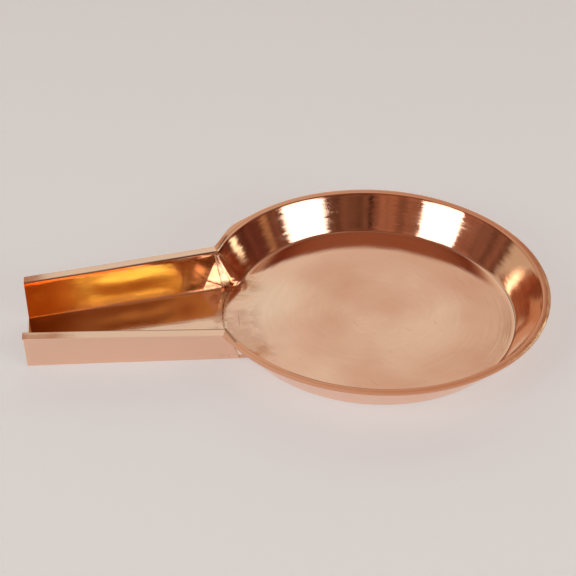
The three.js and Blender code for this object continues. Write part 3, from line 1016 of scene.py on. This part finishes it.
def shapedChannel(point):
    # the sheet is folded by hand: its flanges and walls are a little wavy
    x, y, z = point
    side = 1 if y > tray["spoutAxis"] else -1
    turnRadius = tray["floorRadius"] + tray["wallFlare"]
    share = stairs(z, channelHand["floorFade"], tray["height"])
    past = stairs(-x, turnRadius, turnRadius + channelHand["flangeStart"])
    flangeWave, flangeScale = channelHand["flangeWave"]
    floorWave, floorScale = channelHand["floorWave"]
    wallWave, wallScale, wallRise = channelHand["wallWave"]
    lift = ripple(x * flangeScale, side * 3.3, 2.2) * flangeWave * share * past
    lift += ripple(x * floorScale, y * floorScale, 8.8) * floorWave * (1 - share)
    out = ripple(x * wallScale, side * 5.7, z * wallRise) * wallWave * stairs(z, *channelHand["wallFoot"])
    if side > 0:
        out += hump((x, z), *channelHand["bulge"])
    return (x, y + side * out, z + lift)


def rowAt(row, station):
    # a point of the row, read off its straight line from the mouth to the end
    first, last = row[0], row[-1]
    return first + (last - first) * ((station + first.x) / (first.x - last.x))


def stretchAlong(row, begin, count):
    return [rowAt(row, blend(begin, tray["spoutEnd"], i / (count - 1))) for i in range(count)]


def flangeRow(row, columns, side):
    # flange and the turn below it: half of the hollow corner, then straight to the end
    start, arcs = row[0], channelJoint["arcColumns"]
    turn = lineAt(sideLine(tray["height"]), channelShape["Start"])
    reach = abs(start.y - tray["spoutAxis"]) - turn + channelJoint["bendRun"]
    share = min(max(reach / (tray["flangeWidth"] + channelJoint["bendRun"]), 0.0), 1.0)
    begin = tray["floorRadius"] + tray["wallFlare"] - channelJoint["turnRun"]
    radius = begin + (tray["rimWidth"] + channelJoint["turnRun"]) * share
    middle, fromCircle, fromLine = cornerArc(flangeLine(share), radius, webBend(share), side)
    arc = [arcPoint(middle, webBend(share), fromCircle, fromLine, 0.5 + 0.5 * i / arcs)
           for i in range(arcs + 1)]
    begin = -arc[-1].x
    shift = arc[-1].y - rowAt(row, begin).y
    straight = stretchAlong(row, begin, columns - arcs)[1:]
    for point in straight:
        point.y += shift * (1 - stairs(-point.x, begin, begin + channelJoint["settle"]))
    return [Vector((point.x, point.y, start.z)) for point in arc] + straight


def makeChannel():
    mesh = bake("channel grid", foldedChannelTree(), {**channelShape, "Material": foldedCopper})
    columns = channelShape["Columns"]
    points = [vertex.co.copy() for vertex in mesh.vertices]
    bpy.data.meshes.remove(mesh)
    bm = bmesh.new()
    rows = []
    for first in range(0, len(points), columns):
        row = points[first:first + columns]
        start = row[0]
        side = 1 if start.y > tray["spoutAxis"] else -1
        if start.z > channelJoint["wallTop"]:
            line = flangeRow(row, columns, side)
        elif start.z > tray["sheet"] + 1e-5:
            # the walls are trimmed to the line where the tabs begin
            bend = cornerBend(start.z)
            middle, fromCircle, fromLine = cornerArc(tabLine(start.z), wallRadius(start.z), bend, side)
            begin = -arcPoint(middle, bend, fromCircle, fromLine, 1.0).x - channelJoint["underTab"]
            line = stretchAlong(row, begin, columns)
        else:
            begin = math.sqrt(channelJoint["floorStart"] ** 2 - start.y ** 2)
            line = stretchAlong(row, begin, columns)
        rows.append([bm.verts.new(shapedChannel(point)) for point in line])
    fillRows(bm, rows)
    return finishSheet("spoutChannel", bm, foldedCopper, channelJoint["bevel"])


channel = makeChannel()
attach(channel, "root")
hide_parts("spout_channel")
print("channel made")


# solder

solderShape = {
    "seamRadius": 0.0024,
    "seamHeight": 0.0006,
    "seamReach": 0.0335,
    "seamOut": 0.0004,        # the seam's middle lies this far outside the foot of the lip
    "seamFlatness": 0.21,
    "beadRadius": 0.0007,
    "blobRadius": 0.0014,
    "beadFoot": 0.0016,
    "beadTop": 0.0236,
    "endTaper": 0.03,
    "endThickness": 0.35,
    "skinScale": 700.0,
    "skinDepth": 0.0004,
    "ringPoints": 14,
}
seamBead = {"Radius": solderShape["seamRadius"], "Start Radius": solderShape["seamRadius"],
            "Start Share": 0.08, "Unevenness": 0.2, "Lump Size": 0.005, "Seed": 4}
tabBead = {"Radius": solderShape["beadRadius"], "Start Radius": solderShape["blobRadius"],
           "Start Share": 0.2, "Unevenness": 0.5}


def solderTree():
    # a bead that swells and thins along its path, thicker at the start by a named amount
    tree, source, target = newTree("solder bead", {
        "Radius": 0.001, "Start Radius": 0.002, "Start Share": 0.15, "Unevenness": 0.35,
        "Lump Size": 0.004, "Step": 0.0004, "Seed": 3, "Material": cleanedSolder})
    get = source.outputs
    curve = put(tree, "GeometryNodeMeshToCurve", {0: get[0]})
    smooth = put(tree, "GeometryNodeResampleCurve", {"Curve": curve.outputs[0], "Length": get["Step"]},
                 mode="LENGTH")
    along = put(tree, "GeometryNodeSplineParameter").outputs[0]
    here = put(tree, "GeometryNodeInputPosition").outputs[0]
    lumpScale = sums("DIVIDE", 1.0, get["Lump Size"])
    lumps = put(tree, "ShaderNodeTexNoise",
                {"Vector": here, "W": get["Seed"], "Scale": lumpScale, "Detail": 1.0},
                noise_dimensions="4D").outputs[0]
    swell = sums("MULTIPLY_ADD", sums("SUBTRACT", lumps, 0.5), product(get["Unevenness"], 2.0), 1.0)
    blob = smoothStep(along, 0.0, get["Start Share"], get["Start Radius"], get["Radius"])
    taper, thin = solderShape["endTaper"], solderShape["endThickness"]
    radius = product(blob, swell, smoothStep(along, 0.0, taper, thin, 1.0),
                     smoothStep(along, 1.0 - taper, 1.0, 1.0, thin))
    ring = put(tree, "GeometryNodeCurvePrimitiveCircle",
               {"Resolution": solderShape["ringPoints"], "Radius": 1.0})
    sized = put(tree, "GeometryNodeSetCurveRadius", {0: smooth.outputs[0], "Radius": radius})
    tube = put(tree, "GeometryNodeCurveToMesh",
               {"Curve": sized.outputs[0], "Profile Curve": ring.outputs[0],
                "Fill Caps": True, "Scale": radius})
    skin = put(tree, "ShaderNodeTexNoise",
               {"Vector": here, "W": get["Seed"], "Scale": solderShape["skinScale"], "Detail": 1.0},
               noise_dimensions="4D").outputs[1]
    push = put(tree, "ShaderNodeVectorMath", {0: skin, 1: (0.5, 0.5, 0.5)}, operation="SUBTRACT").outputs[0]
    uneven = put(tree, "GeometryNodeSetPosition",
                 {"Geometry": tube.outputs[0], "Offset": scaled(push, solderShape["skinDepth"])})
    soft = put(tree, "GeometryNodeSetShadeSmooth", {"Geometry": uneven.outputs[0]})
    finishTree(tree, source, soft.outputs[0], target)
    return tree


beadTree = solderTree()


def makeBead(name, node, path, values, flatness=1.0):
    line = bpy.data.meshes.new(name)
    line.from_pydata(path, [(i, i + 1) for i in range(len(path) - 1)], [])
    mesh = bake(name, beadTree, {**values, "Material": cleanedSolder}, line)
    bm = bmesh.new()
    bm.from_mesh(mesh)
    bmesh.ops.remove_doubles(bm, verts=bm.verts, dist=1e-6)
    bmesh.ops.recalc_face_normals(bm, faces=bm.faces)
    for vertex in bm.verts:
        vertex.co.z = blend(path[0][2], vertex.co.z, flatness)
    bm.to_mesh(mesh)
    bm.free()
    bead = bpy.data.objects.new(name, mesh)
    scene.collection.objects.link(bead)
    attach(bead, "root")
    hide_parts(node)


def seamPath():
    radius = dishJoint["lipEnd"] + solderShape["seamOut"]
    points = []
    for i in range(41):
        y = tray["spoutAxis"] + blend(-solderShape["seamReach"], solderShape["seamReach"], i / 40)
        points.append((-math.sqrt(radius ** 2 - y ** 2), y, solderShape["seamHeight"]))
    return points


def tabPath(side):
    # up the end of a tab, between it and the channel's wall
    points = []
    for i in range(21):
        z = blend(solderShape["beadFoot"], solderShape["beadTop"], i / 20)
        line = sideLine(z, -tray["lap"])
        station = crossing(line, wallRadius(z), side) + tabReach(z) + tray["lap"]
        points.append((*linePoint(line, station, side), z))
    return points


makeBead("floorSeamSolder", "floor_seam_solder", seamPath(), seamBead, solderShape["seamFlatness"])
makeBead("rearTabSolder", "rear_tab_solder", tabPath(1), {**tabBead, "Seed": 7})
makeBead("frontTabSolder", "front_tab_solder", tabPath(-1), {**tabBead, "Seed": 9})
print("solder made")


# studio

studio = {
    "floorColour": (0.77, 0.81, 0.835),
    "floorGlow": 0.42,
    "floorHalf": 3.0,
    "floorDrop": 0.0001,
    "paper": (0.9, 0.9, 0.89),
    "ground": (0.45, 0.43, 0.41),
    "leftBox": {"azimuth": -63.7, "elevation": 24.5, "width": 0.71, "height": 0.56, "power": 2.6},
    "rightBox": {"azimuth": 43.5, "elevation": 23, "width": 0.77, "height": 0.50, "power": 2.6},
    "boxDistance": 1.5,
    "boxAim": 0.015,
    "boxColour": (1.0, 0.99, 0.97),
}
room = {
    # what the polished copper mirrors, by direction: x to the right, y to the rear, z up
    "front": (0.19, 0.082, 0.050),
    "unevenScale": 11.0,
    "unevenRise": 0.12,
    "unevenRange": (0.70, 1.40),
    # colour, span of x with its soft edge, and height over which it sets in
    "areas": (((0.22, 0.094, 0.054), (-2.0, 2.0, 0.1), (0.44, 0.54)),
              ((0.16, 0.052, 0.030), (-2.0, 2.0, 0.1), (0.64, 0.72)),
              ((0.16, 0.052, 0.030), (0.22, 0.70, 0.04), (0.56, 0.60)),
              ((0.12, 0.038, 0.025), (0.80, 1.20, 0.10), (0.34, 0.26))),
    "sideHigh": (0.32, 0.215, 0.165),
    "sideSpan": (0.84, 0.95),
    "sideRise": (0.52, 0.66),
    # spans of the slant x / -y that are darker or lighter, and by how much
    "shades": (((-0.60, 0.10, 0.04), -0.24), ((0.21, 1.15, 0.06), 0.35)),
    "leftSpan": (-0.97, -0.76, 0.03),
    "leftRise": (0.33, 0.38, 0.0, 0.30),
    "stripe": (0.02, 0.006, 0.004),
    "stripeSpan": (0.126, 0.176, 0.008),
    "stripeTop": (0.60, 0.52),
    "zenith": (0.30, 0.16, 0.105),
    "zenithRise": (0.84, 0.96),
    # the pale screen behind, by the turn x / y
    "behind": (0.58, 0.49, 0.37),
    "behindStart": (0.40, 0.52),
    "behindTop": (0.86, 0.72),
    "gap": (0.36, 0.17, 0.10),
    "gapSpans": ((-0.20, -0.092, 0.010), (0.445, 0.515, 0.015)),
    "screenSpan": (-0.088, 0.440, 0.014),
    "panelLeft": (0.73, 0.74, 0.685),
    "panelMiddle": (0.77, 0.73, 0.65),
    "panelMiddleStart": (-0.02, 0.20),
    "panelRight": (0.66, 0.54, 0.45),
    "panelRightStart": (0.16, 0.36),
    "panelLow": (0.60, 0.43, 0.32),
    "panelLowTop": (0.47, 0.40),
    # small bright things that the steep faces pick up, in degrees:
    # azimuth, elevation, half width, half height and soft edge, then the colour
    "lights": (((25.5, 15.8, 6.0, 4.2, 0.9), (3.9, 3.6, 3.1)),
               ((11.5, 51.5, 3.5, 6.0, 1.5), (0.25, 0.135, 0.095)),
               ((28.0, 57.0, 6.5, 8.0, 2.0), (0.46, 0.31, 0.19)),
               ((99.5, 5.5, 2.6, 3.4, 0.8), (1.7, 1.6, 1.15)),
               ((72.0, 17.0, 3.0, 3.0, 2.0), (0.44, 0.24, 0.12)),
               ((152.8, 34.2, 0.9, 1.4, 0.6), (1.0, 1.5, 1.3)),
               ((150.0, 39.7, 3.0, 2.1, 0.8), (2.8, 4.6, 4.0)),
               ((-63.5, 41.0, 6.5, 3.0, 0.8), (3.4, 3.9, 3.7))),
}
view = {
    "azimuth": 9.933,
    "elevation": 36.05,
    "roll": 0.561,
    "lens": 71.06,
    "place": (-0.14342, -0.52455, 0.41271),
}


def bearing(azimuth, elevation):
    # direction from the tray, in degrees: azimuth 0 is the front, to the right is positive
    turn, rise = math.radians(azimuth), math.radians(elevation)
    return Vector((math.sin(turn) * math.cos(rise), -math.cos(turn) * math.cos(rise), math.sin(rise)))


def makeFloor():
    bm = bmesh.new()
    bmesh.ops.create_grid(bm, x_segments=8, y_segments=8, size=studio["floorHalf"])
    mesh = bpy.data.meshes.new("studioFloor")
    bm.to_mesh(mesh)
    bm.free()
    floor = bpy.data.objects.new("studioFloor", mesh)
    scene.collection.objects.link(floor)
    floor.location.z = -studio["floorDrop"]
    material = bpy.data.materials.new("pale paper")
    material.use_nodes = True
    tree = material.node_tree
    tree.nodes.clear()
    paper = put(tree, "ShaderNodeBsdfDiffuse", {0: rgba(studio["floorColour"])})
    rays = put(tree, "ShaderNodeLightPath").outputs
    seen = sums("MAXIMUM", rays["Is Camera Ray"], rays["Is Glossy Ray"])
    seen = sums("MAXIMUM", seen, rays["Is Transmission Ray"])
    glow = put(tree, "ShaderNodeEmission", {0: rgba(studio["floorColour"]),
                                            1: product(seen, studio["floorGlow"])})
    both = put(tree, "ShaderNodeAddShader", {0: paper.outputs[0], 1: glow.outputs[0]})
    out = put(tree, "ShaderNodeOutputMaterial")
    tree.links.new(both.outputs[0], out.inputs[0])
    mesh.materials.append(material)


def cardMask(direction, azimuth, elevation, halfWidth, halfHeight, soft):
    # mask of a rectangle in the distance, in degrees
    tree = direction.id_data
    ahead = bearing(azimuth, elevation)
    beside = bearing(azimuth + 90, 0)
    dots = [put(tree, "ShaderNodeVectorMath", {0: direction, 1: tuple(axis)}, operation="DOT_PRODUCT")
            .outputs["Value"] for axis in (ahead, beside, ahead.cross(beside))]
    depth = sums("MAXIMUM", dots[0], 0.05)
    mask = 1.0
    for dot, size in zip(dots[1:], (halfWidth, halfHeight)):
        spread = sums("ABSOLUTE", sums("DIVIDE", dot, depth))
        outer, inner = math.tan(math.radians(size + soft)), math.tan(math.radians(size - soft))
        mask = product(mask, smoothStep(spread, outer, inner))
    return mask


def frontOfRoom(x, y, z):
    # dark red room, lighter higher up, with upright unevenness
    upright = combine(x, y, product(z, room["unevenRise"]))
    uneven = noiseAt(upright, room["unevenScale"], 2.0, 0.6)
    colour = rgba(room["front"])
    for tint, span, rise in room["areas"]:
        mask = product(between(x, *span), smoothStep(z, *rise))
        colour = mixColour(mask, colour, rgba(tint))
    colour = scaled(colour, smoothStep(uneven, 0.32, 0.68, *room["unevenRange"]))
    level = sums("SQRT", sums("MAXIMUM", sums("SUBTRACT", 1.0, product(z, z)), 0.01))
    side = smoothStep(sums("ABSOLUTE", sums("DIVIDE", x, level)), *room["sideSpan"])
    side = product(side, smoothStep(z, *room["sideRise"]))
    colour = mixColour(side, colour, rgba(room["sideHigh"]))
    # the gap between two screens stands as a dark stripe in front
    slant = sums("DIVIDE", x, sums("MINIMUM", y, -0.01))
    shade = 1.0
    for span, change in room["shades"]:
        shade = total(shade, product(between(slant, *span), change))
    leftShade = product(between(x, *room["leftSpan"]), smoothStep(z, *room["leftRise"]))
    colour = scaled(colour, total(shade, leftShade))
    stripe = product(between(slant, *room["stripeSpan"]), smoothStep(z, *room["stripeTop"]))
    colour = mixColour(stripe, colour, rgba(room["stripe"]))
    return mixColour(smoothStep(z, *room["zenithRise"]), colour, rgba(room["zenith"]))


def screenBehind(x, y, z, below):
    # pale screen behind, creamier on the left, with a dark gap at each side
    turn = sums("DIVIDE", x, sums("MAXIMUM", y, 0.01))
    back = product(smoothStep(y, *room["behindStart"]), smoothStep(z, *room["behindTop"]))
    colour = mixColour(back, below, rgba(room["behind"]))
    gaps = total(*[between(turn, *span) for span in room["gapSpans"]])
    colour = paint(product(gaps, back), 0.9, colour, room["gap"])
    panel = rgba(room["panelLeft"])
    for value, name, limits in ((turn, "panelMiddle", "panelMiddleStart"),
                                (turn, "panelRight", "panelRightStart"), (z, "panelLow", "panelLowTop")):
        panel = mixColour(smoothStep(value, *room[limits]), panel, rgba(room[name]))
    screen = product(between(turn, *room["screenSpan"]), back)
    return mixColour(screen, colour, panel)


def makeWorld():
    world = bpy.data.worlds.new("studio")
    scene.world = world
    world.use_nodes = True
    tree = world.node_tree
    tree.nodes.clear()
    direction = put(tree, "ShaderNodeTexCoord").outputs["Generated"]
    x, y, z = separate(direction)
    colour = screenBehind(x, y, z, frontOfRoom(x, y, z))
    for card, tint in room["lights"]:
        colour = mixColour(cardMask(direction, *card), colour, rgba(tint))
    colour = mixColour(smoothStep(z, 0.0, -0.05), colour, rgba(studio["ground"]))
    light = put(tree, "ShaderNodeBackground", {0: colour, 1: 1.0})
    paper = put(tree, "ShaderNodeBackground", {0: rgba(studio["paper"]), 1: 1.0})
    rays = put(tree, "ShaderNodeLightPath")
    both = put(tree, "ShaderNodeMixShader", {0: rays.outputs["Is Camera Ray"], 1: light.outputs[0],
                                             2: paper.outputs[0]})
    out = put(tree, "ShaderNodeOutputWorld")
    tree.links.new(both.outputs[0], out.inputs[0])


def makeSoftbox(name, box):
    towards = bearing(box["azimuth"], box["elevation"])
    light = bpy.data.lights.new(name, "AREA")
    light.shape = "RECTANGLE"
    light.size = box["width"]
    light.size_y = box["height"]
    light.energy = box["power"] * math.pi * box["width"] * box["height"]
    light.color = studio["boxColour"]
    lamp = bpy.data.objects.new(name, light)
    scene.collection.objects.link(lamp)
    lamp.location = towards * studio["boxDistance"] + Vector((0, 0, studio["boxAim"]))
    lamp.rotation_euler = towards.to_track_quat("Z", "Y").to_euler()


def makeCamera():
    azimuth, roll = math.radians(view["azimuth"]), math.radians(view["roll"])
    forward = -bearing(-view["azimuth"], view["elevation"])
    right = Vector((math.cos(azimuth), -math.sin(azimuth), 0))
    up = right.cross(forward)
    across = right * math.cos(roll) + up * math.sin(roll)
    upward = up * math.cos(roll) - right * math.sin(roll)
    camera = bpy.data.objects.new("camera", bpy.data.cameras.new("camera"))
    scene.collection.objects.link(camera)
    camera.data.lens = view["lens"]
    camera.data.sensor_width = 36
    camera.data.clip_start = 0.01
    place = Matrix((across, upward, -forward)).transposed().to_4x4()
    place.translation = Vector(view["place"])
    camera.matrix_world = place
    scene.camera = camera


makeFloor()
makeWorld()
makeSoftbox("left softbox", studio["leftBox"])
makeSoftbox("right softbox", studio["rightBox"])
makeCamera()
print("studio made")
